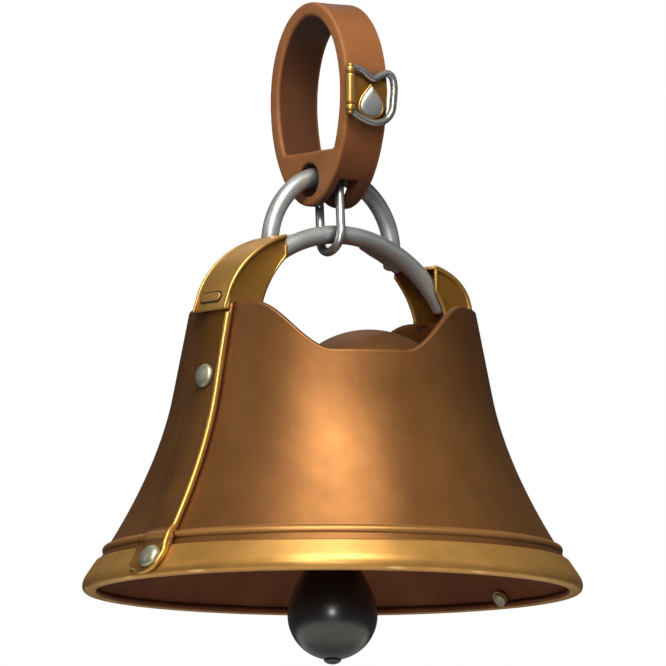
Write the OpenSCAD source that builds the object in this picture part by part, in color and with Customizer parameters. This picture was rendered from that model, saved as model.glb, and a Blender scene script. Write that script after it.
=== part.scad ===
// Hand bell on a leather carry strap.
// Origin: centre of the mouth plane. +Z runs up the bell's axis.
// +X is right and -Y is front. The bail (two arms, hoop and arch) spans X and Z.

/* [Bell] */
// Outer radius of the bell at the top of its collar
collar_r = 51.4; // [51:0.1:51.8]
// Height of the collar's two high sides above the mouth
collar_z = 102; // [101.5:0.1:102]
// Height of the collar's two dips above the mouth
dip_z = 83.3; // [82.5:0.1:90]
// Direction of the front dip about the bell's axis, in degrees
dip_angle = -114; // [-116:1:-112]
// Extra radius that the flare adds at the mouth
flare = 20.6; // [20.2:0.1:20.9]
// Wall thickness of the bell, measured level
wall = 3; // [2.8:0.1:3.2]

/* [Bail] */
// Width of the arms and of the side straps
arm_w = 20; // [20:0.1:20.4]
// Wall thickness of an arm
arm_t = 1.5; // [1.3:0.1:1.7]
// Radius of the steel hoop's centre line
hoop_r = 53; // [52.9:0.1:53.2]
// Radius of the hoop's rod
hoop_rod = 3.35; // [3.2:0.05:3.4]
// Radius of the arch's centre line
arch_r = 27.3; // [27:0.1:27.6]
// Radius of the arch's rod
arch_rod = 3.2; // [3:0.1:3.3]
// Radius of the link's wire
link_wire = 1.65; // [1.4:0.05:1.7]

/* [Carry strap] */
// Width of the leather
leather_w = 18.5; // [18:0.1:19]
// Thickness of the leather
leather_t = 5; // [4.6:0.1:5.2]
// Half the width of the loop
loop_half_w = 24; // [23.9:0.1:24.2]
// Radius of the bore that the arch runs in
sleeve_r = 6.1; // [6:0.1:6.3]

/* [Clapper] */
// Height of the clapper's pivot
pivot_z = 66; // [65:0.5:67]
// Radius of the clapper's ball
ball_r = 16.3; // [15.5:0.1:16.4]
// Radius of the pivot pin
pin_r = 2; // [1.8:0.1:2.1]

/* [Hidden] */

COPPER = [0.50, 0.29, 0.16];
BRASS = [0.80, 0.56, 0.20];
STEEL = [0.62, 0.65, 0.68];
NICKEL = [0.72, 0.72, 0.60];
LEATHER = [0.50, 0.26, 0.12];
BLACK = [0.12, 0.12, 0.13];

gap = 0.03;          // space between pieces that are fixed to each other
run = 0.05;          // radial running clearance of a pin in its bore
fn_big = 128;

// ---- helpers ---------------------------------------------------------------
// eases from 0 to 1 as v goes from 0 to 1
function smooth(v) = let (s = max(0, min(1, v))) s * s * (3 - 2 * s);
// count + 1 evenly spaced values
function steps(from, to, count) = [for (i = [0:count]) from + (to - from) * i / count];

// extrudes a YZ profile towards +X
module extrude_x(length) {
    rotate([90, 0, 90]) linear_extrude(length) children();
}
// extrudes an XZ profile to both sides of Y = 0
module extrude_mid_y(width) {
    rotate([90, 0, 0]) translate([0, 0, -width / 2]) linear_extrude(width) children();
}
// bent rod in the XZ plane
module arc_rod(start, sweep, radius, rod) {
    rotate([90, 0, 0]) rotate([0, 0, start])
        rotate_extrude(angle = sweep, $fn = fn_big) translate([radius, 0]) circle(r = rod, $fn = 48);
}
module ring(height, outer, bore, sides = 48, bore_sides = 48, cut = 4) {
    difference() {
        cylinder(h = height, r = outer, $fn = sides);
        translate([0, 0, -1]) cylinder(h = cut, r = bore, $fn = bore_sides);
    }
}

// ---- outline of the bell ---------------------------------------------------
shell_top = 103;     // before the collar is trimmed
shell_end = 2.6;     // height of the shell's lower edge
taper = 0.197;       // radius gained per millimetre down
taper_z = 103.5;     // height at which the radius is collar_r
flare_z = 70;        // the flare starts here
flare_power = 1.82;
tuck_z = 14;         // below this the wall draws in again
tuck = 1.6;
function bell_r(z) = collar_r + taper * (taper_z - z)
    + flare * pow(max(0, (flare_z - z) / flare_z), flare_power)
    - tuck * pow(max(0, (tuck_z - z) / tuck_z), 2);
// [radius, height] points down or up a surface offset from the bell's outside
function bell_line(from, to, count, offset = 0) =
    [for (z = steps(from, to, count)) [bell_r(z) + offset, z]];

// raised ridge round the bell
ridge_z = 15.2;
ridge_c = bell_r(ridge_z) - 0.5;
ridge_rad = 1.7;
ridge_up = 2.2;      // the ridge's extent above and below its centre
ridge_down = 2;
function ridge_arc(offset) = [for (t = [75:-15:-60])
    [ridge_c + (ridge_rad + offset) * cos(t), ridge_z + (ridge_rad + offset) * sin(t)]];

module shell_2d() {
    polygon(concat(
        bell_line(shell_top, ridge_z + ridge_up, 34),
        ridge_arc(0),
        bell_line(ridge_z - ridge_down, shell_end, 8),
        bell_line(shell_end, shell_top, 34, -wall)));
}
// lower shell with clearance, cut from the rim band
module shell_grown_2d() {
    top = 30;
    polygon(concat(
        bell_line(top, shell_end, 30, gap),
        bell_line(shell_end, top, 30, -wall - gap)));
}

// rim band
band_top = 11.6;
band_edge = 0.5;     // how far the band's top edge stands out from the bell
band_max_r = 90.4;
function band_out(z) = bell_r(z) + 1.15 + 0.75 * smooth((10 - z) / 5);
function band_side(out = 0, up = 0) =
    [for (z = steps(10.9, 3.7, 8)) [min(band_max_r, band_out(z)) + out, z + up]];
module band_2d() {
    difference() {
        // the last list is the rolled lip: [radius, height]
        polygon(concat(
            [[bell_r(band_top) - 0.5, band_top], [bell_r(band_top) + band_edge, band_top]],
            band_side(),
            [[band_max_r, 2.2], [90.1, 1.0], [89.3, 0.2], [88.4, 0], [86.2, 0],
             [85.2, 0.4], [84.9, 1.3], [85.2, 2.2], [86, shell_end - gap],
             [87.5, shell_end - gap]]));
        shell_grown_2d();
    }
}
module band_grown_2d() {
    top = band_top + 0.05;
    inside = 80;
    polygon(concat(
        [[inside, top], [bell_r(band_top) + band_edge + gap, top]],
        band_side(0.05, 0.02),
        [[band_max_r + 0.05, 2.2], [90.2, -1], [inside, -1]]));
}

// ---- collar dips -----------------------------------------------------------
flank_w = 27;        // width over which a dip rises to the collar
left_flank = 10;     // where the flank at negative u starts
// height of the collar at u across a dip
function collar_line(u, right_flank) = dip_z + (collar_z - dip_z)
    * smooth((abs(u) - (u < 0 ? left_flank : right_flank)) / flank_w);
// prism above the collar line, along the dips' direction
module dip_prism(start, length, right_flank) {
    half_w = 60;
    top = 125;
    rotate([0, 0, dip_angle]) translate([start, 0, 0]) extrude_x(length)
        polygon(concat(
            [for (u = [-half_w:1.5:half_w]) [u, collar_line(u, right_flank)]],
            [[half_w, top], [-half_w, top]]));
}

// ---- rivets ----------------------------------------------------------------
strap_thk = 1.5;     // thickness of a metal side strap
rivet_r = 2;
// height, radius at the head's seat, tilt of the axis, thickness of the stack,
// angle round from the middle of the strap's top
upper_rivet = [75, bell_r(75) + strap_thk, 11.1, 4.6, 2.5];
lower_rivet = [7.2, 91.0, 33.5, 6.2, 8];
rivets = [upper_rivet, lower_rivet];

// moves to the seat of a rivet's head, with Z outwards along the rivet
module at_rivet(spec) {
    rotate([0, 0, spec[4]]) translate([spec[1], 0, spec[0]]) rotate([0, 90 - spec[2], 0])
        children();
}
module rivet_holes() {
    for (a = [0, 180], spec = rivets)
        rotate([0, 0, a]) at_rivet(spec)
            translate([0, 0, -14]) cylinder(h = 20, r = rivet_r + gap, $fn = 32);
}
module rivet(spec) {
    seat = 0.2;
    head_h = 2.6;
    head_sphere = 5.19;
    stack = spec[3];
    at_rivet(spec) {
        intersection() {
            translate([0, 0, seat + head_h - head_sphere]) sphere(r = head_sphere, $fn = 64);
            translate([0, 0, seat]) cylinder(h = 4, r = 4.5, $fn = 64);
        }
        translate([0, 0, -stack - 1.6]) cylinder(h = stack + 2.2, r = rivet_r, $fn = 32);
        // inner end
        translate([0, 0, -stack - 2.3]) cylinder(h = 0.8, r = 2.8, $fn = 32);
    }
}
module strap_rivets() {
    for (spec = rivets) rivet(spec);
}
module strap_rivets_left() { color(NICKEL) rotate([0, 0, 180]) strap_rivets(); }
module strap_rivets_right() { color(NICKEL) strap_rivets(); }
module rivet_burrs() {
    color(BRASS) for (a = [0, 180], spec = rivets)
        rotate([0, 0, a]) at_rivet(spec) translate([0, 0, -spec[3] - 1.45])
            ring(1.1, 3.3, rivet_r + gap, sides = 40, bore_sides = 32);
}

// ---- bell ------------------------------------------------------------------
plate_z = 78.5;      // underside of the crown plate
plate_t = 2.5;
plate_top = plate_z + plate_t;
yoke_stud_r = 3;     // the yoke's stud passes through the plate

module bell_shell() {
    color(COPPER) difference() {
        rotate_extrude($fn = fn_big) shell_2d();
        union() {
            dip_prism(0, 80, 14);
            dip_prism(-80, 80.5, 9);
        }
        rivet_holes();
    }
}
module crown_plate() {
    color(COPPER) difference() {
        rotate_extrude($fn = fn_big) polygon([[0, plate_z],
            [bell_r(plate_z) - wall - gap, plate_z],
            [bell_r(plate_top) - wall - gap, plate_top],
            [0, plate_top]]);
        translate([0, 0, plate_z - 1]) cylinder(h = 6, r = yoke_stud_r + gap, $fn = 48);
    }
}
// hollow cap on the plate, centred off the bell's axis
module crown_dome() {
    centre_z = 61.5;
    color(COPPER) translate([10.7, -7.7, 0]) difference() {
        translate([0, 0, centre_z]) sphere(r = 34, $fn = 96);
        translate([0, 0, centre_z]) sphere(r = 32.4, $fn = 96);
        translate([-60, -60, 0]) cube([120, 120, plate_top + gap]);
    }
}
module rim_band() {
    color(BRASS) difference() {
        rotate_extrude($fn = fn_big) band_2d();
        rivet_holes();
        // pockets inside the band for the rivets' inner ends
        for (a = [0, 180]) rotate([0, 0, a]) at_rivet(lower_rivet)
            translate([0, 0, -lower_rivet[3] - 8]) cylinder(h = 8 + 0.6, r = 3.8, $fn = 40);
    }
}

// ---- side straps -----------------------------------------------------------
strap_top = 101.9;
strap_end = 1.2;
foot_z = 7;          // the strap's foot is rounded below this
// the strap follows the bell, then steps out over the ridge and the band
function strap_out(z) = z > 19 ? bell_r(z) + strap_thk
    : z > 12.5 ? bell_r(z) + strap_thk + 1.7 * smooth((19 - z) / 3)
    : min(91.8, band_out(max(z, 3.2)) + 1.3 + 0.9 * smooth((z - 9.5) / 3));
module strap_2d(raised, inside) {
    difference() {
        polygon(concat(
            [for (z = steps(strap_top, strap_end, 56)) [strap_out(z) + raised, z]],
            bell_line(strap_end, strap_top, 56, inside)));
        // room for the ridge
        polygon(concat(
            [[ridge_c - 5, ridge_z + 2.5], [bell_r(ridge_z + ridge_up) + gap, ridge_z + 2.32]],
            ridge_arc(gap + 0.02),
            [[bell_r(ridge_z - ridge_down) + gap + 0.02, ridge_z - ridge_down],
             [ridge_c - 5, ridge_z - 2.2]]));
        band_grown_2d();
    }
}
// The beaded edge keeps nearly the same angle round the bell, so the strap
// leans towards that edge as it goes down.
function foot_ease(z) = smooth((16 - z) / 8);
function bead_y(z) = strap_out(z)
    * sin(10.2 + 3 * foot_ease(z) + 0.55 * smooth((z - 80) / 20));
function plain_y(z) = bead_y(z) - arm_w + 2 * foot_ease(z);
edge_levels = concat([for (z = [90:-10:20]) z], [18, 16, 14, 12, 10, 8.5, foot_z]);

module strap_shape() {
    levels = concat([104, 99], edge_levels);
    mid_y = (bead_y(foot_z) + plain_y(foot_z)) / 2;
    half_w = (bead_y(foot_z) - plain_y(foot_z)) / 2;
    extrude_x(120) polygon(concat(
        [for (z = levels) [bead_y(z), z]],
        [for (t = [-15:-15:-165]) [mid_y + half_w * cos(t), foot_z + 5.8 * sin(t)]],
        [for (i = [len(levels) - 1:-1:0]) [plain_y(levels[i]), levels[i]]]));
}
module bead_shape() {
    levels = concat([98.6], edge_levels);
    bead_w = 2.2;
    end_y = bead_y(foot_z);
    extrude_x(120) polygon(concat(
        [for (z = levels) [bead_y(z), z]],
        [[end_y - 0.6, 5.2], [end_y - 2.8, 4.4]],
        [for (i = [len(levels) - 1:-1:0]) [bead_y(levels[i]) - bead_w, levels[i]]]));
}
module side_strap() {
    difference() {
        union() {
            intersection() {
                rotate_extrude($fn = fn_big) strap_2d(0, gap);
                strap_shape();
            }
            intersection() {
                rotate_extrude($fn = fn_big) strap_2d(1, strap_thk - 0.3);
                bead_shape();
            }
        }
        rivet_holes();
    }
}
module side_strap_left() { color(BRASS) rotate([0, 0, 180]) side_strap(); }
module side_strap_right() { color(BRASS) side_strap(); }

// ---- bail arms -------------------------------------------------------------
// centre of the superellipse that an arm's back follows
arm_cx = 18;
arm_cz = 99;
// half width, height, squareness, angle at the foot, angle at the tip, mouth's shift outwards
ARM_L = [37, 30.4, 1.8, 9, 72.6, 0];
ARM_R = [38, 24, 2.6, 5.4, 71.5, 5.3];
web_z = collar_z + 0.06;   // lower edge of the side webs
web_t = 1.3;               // thickness of an arm's two side webs
key_z = 104;
key_half = 6.2;            // half the key's length
key_r = 1.85;              // radius of its rounded ends

function arm_pt(arm, angle, inset = 0) = let (power = 2 / arm[2])
    [arm_cx + (arm[0] - inset) * pow(cos(angle), power),
     arm_cz + (arm[1] - inset) * pow(sin(angle), power)];
// curve of the arm's open inner side
function mouth_x(z) = let (h = z - 104) 37.4 - 0.35 * h - 0.018 * h * h;

module arm_side_2d(arm) {
    foot_angle = arm[3];
    tip_angle = arm[4];
    tip = arm_pt(arm, tip_angle);
    polygon(concat(
        [for (t = steps(foot_angle, tip_angle, 26)) arm_pt(arm, t)],
        [for (z = steps(tip.y - 4.6, web_z, 14)) [max(mouth_x(z) + arm[5], tip.x - 0.4), z]],
        [[arm_pt(arm, foot_angle).x + 0.1, web_z]]));
}
module arm_cavity_2d(arm) {
    bottom = 90;
    top_angle = 82;
    polygon(concat(
        [[arm_pt(arm, arm[3], arm_t).x, bottom]],
        [for (t = steps(arm[3], top_angle, 28)) arm_pt(arm, t, arm_t)],
        [[0, arm_pt(arm, top_angle, arm_t).y], [0, bottom]]));
}
// long slot shape with round ends
module key_2d(grow) {
    end_y = key_half - key_r;
    for (side = [-1, 1])
        translate([side * end_y, key_z]) circle(r = key_r + grow, $fn = 32);
    translate([-end_y, key_z - key_r - grow]) square([2 * end_y, 2 * (key_r + grow)]);
}
module bail_arm(arm) {
    // the skirt lies on the side strap
    skirt_z = [99, 103.5];
    difference() {
        union() {
            extrude_mid_y(arm_w) arm_side_2d(arm);
            intersection() {
                rotate_extrude($fn = fn_big) polygon(concat(
                    [for (offset = [gap, arm_t])
                        [bell_r(skirt_z[0]) + strap_thk + offset, skirt_z[0]]],
                    [for (offset = [arm_t, gap])
                        [bell_r(skirt_z[1]) + strap_thk + offset, skirt_z[1]]]));
                translate([0, -arm_w / 2, 90]) cube([80, arm_w, 20]);
            }
        }
        extrude_mid_y(arm_w - 2 * web_t) arm_cavity_2d(arm);
        extrude_x(90) key_2d(0.3);
    }
}
module arm_key(arm) {
    inner_x = 20;
    bottom = 98;
    intersection() {
        translate([49.3, 0, 0]) extrude_x(12) key_2d(0);
        extrude_mid_y(18) polygon(concat(
            [for (t = steps(2, 38, 12)) arm_pt(arm, t)],
            [[inner_x, 112], [inner_x, bottom], [arm_pt(arm, 2).x, bottom]]));
    }
}

arch_c = [1, 2.4, 124.9];    // centre of the arch's bend
module bail_arm_left() {
    color(BRASS) difference() {
        mirror([1, 0, 0]) bail_arm(ARM_L);
        // hole for the arch's left leg
        translate([arch_c.x - arch_r, arch_c.y, 117])
            cylinder(h = 20, r = arch_rod + 0.25, $fn = 48);
    }
}
module bail_arm_right() {
    color(BRASS) difference() {
        bail_arm(ARM_R);
        // the hoop's rod comes in through this notch in the tip
        translate([20, -arm_w / 2 - 1, 108]) cube([19.3, arm_w / 2 - 0.5, 25]);
    }
}
module arm_key_left() { color(BRASS) mirror([1, 0, 0]) arm_key(ARM_L); }
module arm_key_right() { color(BRASS) arm_key(ARM_R); }

// ---- hoop, arch and link ---------------------------------------------------
hoop_c = [0.5, -5.2, 76.6];
module bail_hoop() {
    color(STEEL) translate(hoop_c) arc_rod(33, 103, hoop_r, hoop_rod);
}

tang_y = 1.15;
leg_end = 120.2;
module carry_arch() {
    color(STEEL) {
        translate(arch_c) arc_rod(0, 180, arch_r, arch_rod);
        for (side = [-1, 1]) translate([arch_c.x + side * arch_r, arch_c.y, leg_end])
            cylinder(h = arch_c.z - leg_end, r = arch_rod, $fn = 48);
        // tangs, bent to the hoop's radius
        for (start = [55.5, 105]) translate([hoop_c.x, tang_y, hoop_c.z])
            arc_rod(start, 19.5, hoop_r, arch_rod - 0.3);
    }
}

// centres of the link's two end bends
link_top = [0, arch_c.y, 151.7];
link_bottom = [-4.5, hoop_c.y, 128.9];
link_v = link_bottom - link_top;
link_len = norm(link_v);
link_tilt_x = asin(link_v.y / link_len);
link_tilt_y = asin(-link_v.x / link_len / cos(link_tilt_x));
link_r = 6;
module link_half() {
    rotate([90, 0, 90]) rotate_extrude(angle = 180, $fn = 96)
        translate([link_r, 0]) circle(r = link_wire, $fn = 40);
}
module connector_link() {
    color(STEEL) translate(link_top) rotate([link_tilt_x, link_tilt_y, 0]) {
        link_half();
        translate([0, 0, -link_len]) rotate([180, 0, 0]) link_half();
        for (side = [-1, 1]) translate([0, side * link_r, -link_len])
            cylinder(h = link_len, r = link_wire, $fn = 40);
    }
}

// ---- carry strap -----------------------------------------------------------
loop_c = [0, arch_c.y, 180];
loop_up = 34.5;      // outer half heights above and below the centre
loop_down = 40;
lower_power = 1.9;   // squareness of the lower half
sleeve_z = 149.6;
swing = 20;          // greatest swing of the loop about the arch

// clasp's places, shared with the leather; stud_c is [x, z]
stud_c = [0.4, 176.6];
stud_r = 1.5;

function superellipse(t, half_w, half_h, power) = [
    half_w * pow(abs(cos(t)), 2 / power) * sign(cos(t)),
    half_h * pow(abs(sin(t)), 2 / power) * sign(sin(t))];
module loop_outer_2d() {
    polygon(concat(
        [for (t = [0:5:180]) superellipse(t, loop_half_w, loop_up, 2)],
        [for (t = [185:5:355]) superellipse(t, loop_half_w, loop_down, lower_power)]));
}
// the opening ends in a level floor between the two lower arcs
module loop_inner_2d() {
    arc = 36.6;
    half_w = loop_half_w - leather_t;
    lower = concat([for (i = [1:8]) 180 + arc * i / 8], [for (i = [8:-1:1]) 360 - arc * i / 8]);
    polygon(concat(
        [for (t = [0:5:180]) superellipse(t, half_w, loop_up - leather_t, 2)],
        [for (t = lower) superellipse(t, half_w, 35, lower_power)]));
}
// room for the link over the whole swing
module link_slot() {
    half_w = link_r + link_wire + 1.25;
    reach = 30;
    low = link_tilt_x - swing - 1;
    high = link_tilt_x + swing + 1;
    centre = [link_top.y, link_top.z];
    low_side = centre - half_w * [cos(low), sin(low)];
    high_side = centre + half_w * [cos(high), sin(high)];
    translate([-4.9, 0, 0]) extrude_x(8.5) union() {
        translate(centre) circle(r = half_w, $fn = 48);
        polygon([centre, low_side, low_side + reach * [sin(low), -cos(low)],
            high_side + reach * [sin(high), -cos(high)], high_side]);
    }
}
// moves to the stud's axis at y, with Z towards the front
module at_stud(y) {
    translate([stud_c.x, y, stud_c.y]) rotate([90, 0, 0]) children();
}
module stud_hole() {
    at_stud(-10) cylinder(h = 30, r = stud_r + gap, $fn = 32);
}
module leather_strap() {
    color(LEATHER) difference() {
        translate([loop_c.x - leather_w / 2, loop_c.y, loop_c.z]) extrude_x(leather_w)
            difference() { loop_outer_2d(); loop_inner_2d(); }
        translate([-30, loop_c.y, sleeve_z]) rotate([0, 90, 0])
            cylinder(h = 60, r = sleeve_r, $fn = 64);
        link_slot();
        stud_hole();
    }
}

// ---- clasp -----------------------------------------------------------------
hinge_x = -9.2;
hinge_r = 1;
clasp_y = -23.5;
clasp_wire = 1.25;     // half the width of the frame's bar
face_y = -21.65;       // seat of the plate, just clear of the leather
clasp_plate_t = 0.8;
stud_y = face_y - 0.85;  // seat of the stud's head and its bezel
// [x, z] points that the frame's centre line passes through
frame_ctrl = [
    [-9.2, 187.4], [-6.5, 188.3], [-3.6, 187.4], [-1.2, 185.8],
    [1.3, 184.8], [4, 186], [6.8, 187.1], [9.4, 186],
    [10.4, 182.5], [10.1, 177.5], [9.3, 173.2], [6.4, 170],
    [1.6, 168.8], [-3.7, 169.9], [-7.4, 171.9], [-9.2, 173.8]];
// Catmull-Rom point at t of the span that starts at point i
function spline_pt(points, i, t) =
    let (
        last = len(points) - 1,
        before = points[max(0, i - 1)],
        start = points[i],
        end = points[min(last, i + 1)],
        after = points[min(last, i + 2)])
    0.5 * (2 * start + (end - before) * t
        + (2 * before - 5 * start + 4 * end - after) * t * t
        + (3 * start - before - 3 * end + after) * t * t * t);
frame_last = len(frame_ctrl) - 1;
frame_path = concat(
    [for (i = [0:frame_last - 1], t = [0, 0.5]) spline_pt(frame_ctrl, i, t)],
    [frame_ctrl[frame_last]]);
function path_normal(path, i) =
    let (along = path[min(len(path) - 1, i + 1)] - path[max(0, i - 1)])
    [along.y, -along.x] / norm(along);
function frame_edge(i, offset) = frame_path[i] + offset * path_normal(frame_path, i);

// upright cylinder on the hinge's axis
module hinge_rod(z, height, radius) {
    translate([hinge_x, clasp_y, z]) cylinder(h = height, r = radius, $fn = 48);
}
module clasp_frame() {
    last = len(frame_path) - 1;
    color(STEEL) difference() {
        union() {
            translate([0, clasp_y, 0]) extrude_mid_y(2) polygon(concat(
                [for (i = [0:last]) frame_edge(i, clasp_wire)],
                [for (i = [last:-1:0]) frame_edge(i, -clasp_wire)]));
            for (z = [172.6, 186.4]) hinge_rod(z, 2.2, 2.1);
        }
        hinge_rod(160, 40, hinge_r + run);
        // room for the pin's heads
        for (z = [165, 188.7]) hinge_rod(z, 7.5, 1.75);
        // room for the plate's barrel
        translate([hinge_x - 5, clasp_y - 5, 174.9]) cube([7.2, 10, 11.4]);
    }
}
module clasp_pin() {
    color(BRASS) {
        hinge_rod(171.8, 17.6, hinge_r);
        for (z = [171.2, 188.8]) hinge_rod(z, 1.2, 1.6);
    }
}
module clasp_plate() {
    centre = [1, 178];
    shrink = 0.77;     // the plate is the frame's outline, scaled about the centre
    color(BRASS) difference() {
        union() {
            translate([0, face_y, 0]) rotate([90, 0, 0]) linear_extrude(clasp_plate_t)
                polygon([for (point = frame_path) centre + (point - centre) * shrink]);
            translate([hinge_x, face_y - clasp_plate_t, 175.3]) cube([5, clasp_plate_t, 10.6]);
            hinge_rod(175.1, 11, 1.8);
        }
        hinge_rod(160, 40, hinge_r + gap);
        stud_hole();
    }
}
module teardrop_2d(size) {
    polygon([for (t = [0:10:350])
        size * [6.9 * sin(t) * pow(abs(sin(t / 2)), 1.2), 5.7 * cos(t)]]);
}
module clasp_stud() {
    color(STEEL) {
        // head in two steps
        at_stud(stud_y) linear_extrude(1.2) teardrop_2d(0.97);
        at_stud(face_y - 2) linear_extrude(0.9) teardrop_2d(0.72);
        // shank and its inner end
        at_stud(-14.3) cylinder(h = 8.3, r = stud_r, $fn = 32);
        at_stud(-14.2) cylinder(h = 0.9, r = 2.2, $fn = 32);
    }
}
module stud_bezel() {
    color(BRASS) at_stud(stud_y) linear_extrude(0.9)
        difference() { teardrop_2d(1.08); teardrop_2d(0.98); }
}
module stud_washer() {
    color(BRASS) at_stud(-15.15) ring(0.9, 3.4, stud_r + gap, bore_sides = 32);
}

// ---- clapper ---------------------------------------------------------------
yoke_w = 13.6;
yoke_r = 5;          // radius of the yoke's rounded lower end
groove_r = 1.5;      // radius of the pin at the circlip's groove
stem_r = 2.8;
stem_end = -21;
ball_z = -8;
neck_z = 25;
neck_r = 4.2;

// cylinder along X, centred on the pivot
module pivot_rod(length, radius, sides = 48) {
    translate([-length / 2, 0, pivot_z]) rotate([0, 90, 0])
        cylinder(h = length, r = radius, $fn = sides);
}
module clapper_yoke() {
    color(STEEL) {
        difference() {
            union() {
                translate([-yoke_w / 2, -yoke_r, pivot_z])
                    cube([yoke_w, 2 * yoke_r, plate_z - gap - pivot_z]);
                pivot_rod(yoke_w, yoke_r, 64);
            }
            translate([-3.7, -6, pivot_z - 8]) cube([7.4, 12, 14.5]);
            pivot_rod(20, pin_r + gap);
        }
        translate([0, 0, plate_z - 1]) cylinder(h = 11.4, r = yoke_stud_r, $fn = 48);
    }
}
module yoke_washer() {
    color(STEEL) translate([0, 0, plate_top + gap]) ring(1.2, 7, yoke_stud_r + gap, sides = 64);
}
module yoke_nut() {
    color(STEEL) translate([0, 0, plate_top + 1.3])
        ring(4.8, 5.8, yoke_stud_r + gap, sides = 6, cut = 8);
}
module clapper_pin() {
    color(STEEL) translate([0, 0, pivot_z]) rotate([0, 90, 0]) {
        difference() {
            translate([0, 0, -7]) cylinder(h = 16.2, r = pin_r, $fn = 48);
            translate([0, 0, 7.4]) ring(0.8, 4, groove_r, cut = 3);
        }
        // head
        translate([0, 0, -8.4]) cylinder(h = 1.5, r = 3.4, $fn = 48);
    }
}
module pin_circlip() {
    color(STEEL) translate([0, 0, pivot_z]) rotate([0, 90, 0]) translate([0, 0, 7.45])
        difference() {
            ring(0.7, 3.6, groove_r + gap, cut = 3);
            translate([0, -0.9, -1]) cube([6, 1.8, 3]);
        }
}
module clapper_stem() {
    color(STEEL) difference() {
        union() {
            pivot_rod(7, 4.8, 64);
            translate([0, 0, stem_end]) cylinder(h = pivot_z - stem_end - 3, r = stem_r, $fn = 48);
        }
        pivot_rod(20, pin_r + run);
    }
}
// ball that draws in to a neck round the stem
module clapper_ball() {
    color(BLACK) difference() {
        rotate_extrude($fn = 96) polygon(concat(
            [[0, ball_z - ball_r + 0.35]],
            [for (t = steps(-78, 0, 14)) [ball_r * cos(t), ball_z + ball_r * sin(t)]],
            [for (i = [1:14]) let (u = i / 14)
                [neck_r + (ball_r - neck_r) * (0.5 + 0.5 * cos(180 * u)),
                 ball_z + (neck_z - ball_z) * u]],
            [[0, neck_z]]));
        translate([0, 0, -40]) cylinder(h = 80, r = stem_r + gap, $fn = 48);
    }
}
// plug in the ball's bore with a domed head below
module clapper_button() {
    seat_z = ball_z - ball_r + 0.3;
    color(BLACK) {
        translate([0, 0, seat_z - 0.1]) cylinder(h = 2.8, r = stem_r, $fn = 48);
        intersection() {
            translate([0, 0, seat_z + 2.3]) sphere(r = 4.2, $fn = 64);
            translate([0, 0, seat_z - 4]) cylinder(h = 3.98, r = 3.6, $fn = 48);
        }
    }
}

bell_shell();
crown_plate();
crown_dome();
rim_band();
side_strap_left();
side_strap_right();
strap_rivets_left();
strap_rivets_right();
rivet_burrs();
bail_arm_left();
bail_arm_right();
arm_key_left();
arm_key_right();
bail_hoop();
carry_arch();
connector_link();
leather_strap();
clasp_plate();
clasp_pin();
clasp_frame();
clasp_stud();
stud_bezel();
stud_washer();
clapper_yoke();
yoke_washer();
yoke_nut();
clapper_pin();
pin_circlip();
clapper_stem();
clapper_ball();
clapper_button();
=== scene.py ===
# A copper hand bell with a brass rim band, side straps, a steel bail, a leather carry loop
# and a black clapper. The bell's axis is Z, its mouth lies at z = 0 and the straps lie on the
# X axis: left is -X, right is +X. The camera looks from the -X, -Y side.
# Shapes are given in millimetres; shaders, stage, lights and camera use metres.
from collections import namedtuple
from math import asin, atan2, cos, degrees, pi, radians, sin, sqrt

import bmesh
import bpy
import numpy as np
from mathutils import Matrix, Vector


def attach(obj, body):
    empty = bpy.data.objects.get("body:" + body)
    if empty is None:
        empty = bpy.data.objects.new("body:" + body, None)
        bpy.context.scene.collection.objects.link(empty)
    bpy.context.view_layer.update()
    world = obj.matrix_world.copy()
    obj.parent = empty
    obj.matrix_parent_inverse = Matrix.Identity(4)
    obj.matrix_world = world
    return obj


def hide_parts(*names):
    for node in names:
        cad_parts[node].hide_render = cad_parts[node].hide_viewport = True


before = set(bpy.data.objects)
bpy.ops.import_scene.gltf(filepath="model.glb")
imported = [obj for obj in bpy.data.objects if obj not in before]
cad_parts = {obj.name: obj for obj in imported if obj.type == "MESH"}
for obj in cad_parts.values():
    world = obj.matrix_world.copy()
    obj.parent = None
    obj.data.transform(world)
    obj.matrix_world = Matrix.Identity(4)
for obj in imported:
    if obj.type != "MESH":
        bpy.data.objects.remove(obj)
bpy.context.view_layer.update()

MM = 0.001
SIDES = (("left", -1), ("right", 1))    # name, sign of x
ARCH_Y = 2.4                            # plane of the carry arch and the leather loop
LOOP_Z = 180.0                          # middle of the leather loop


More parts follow.
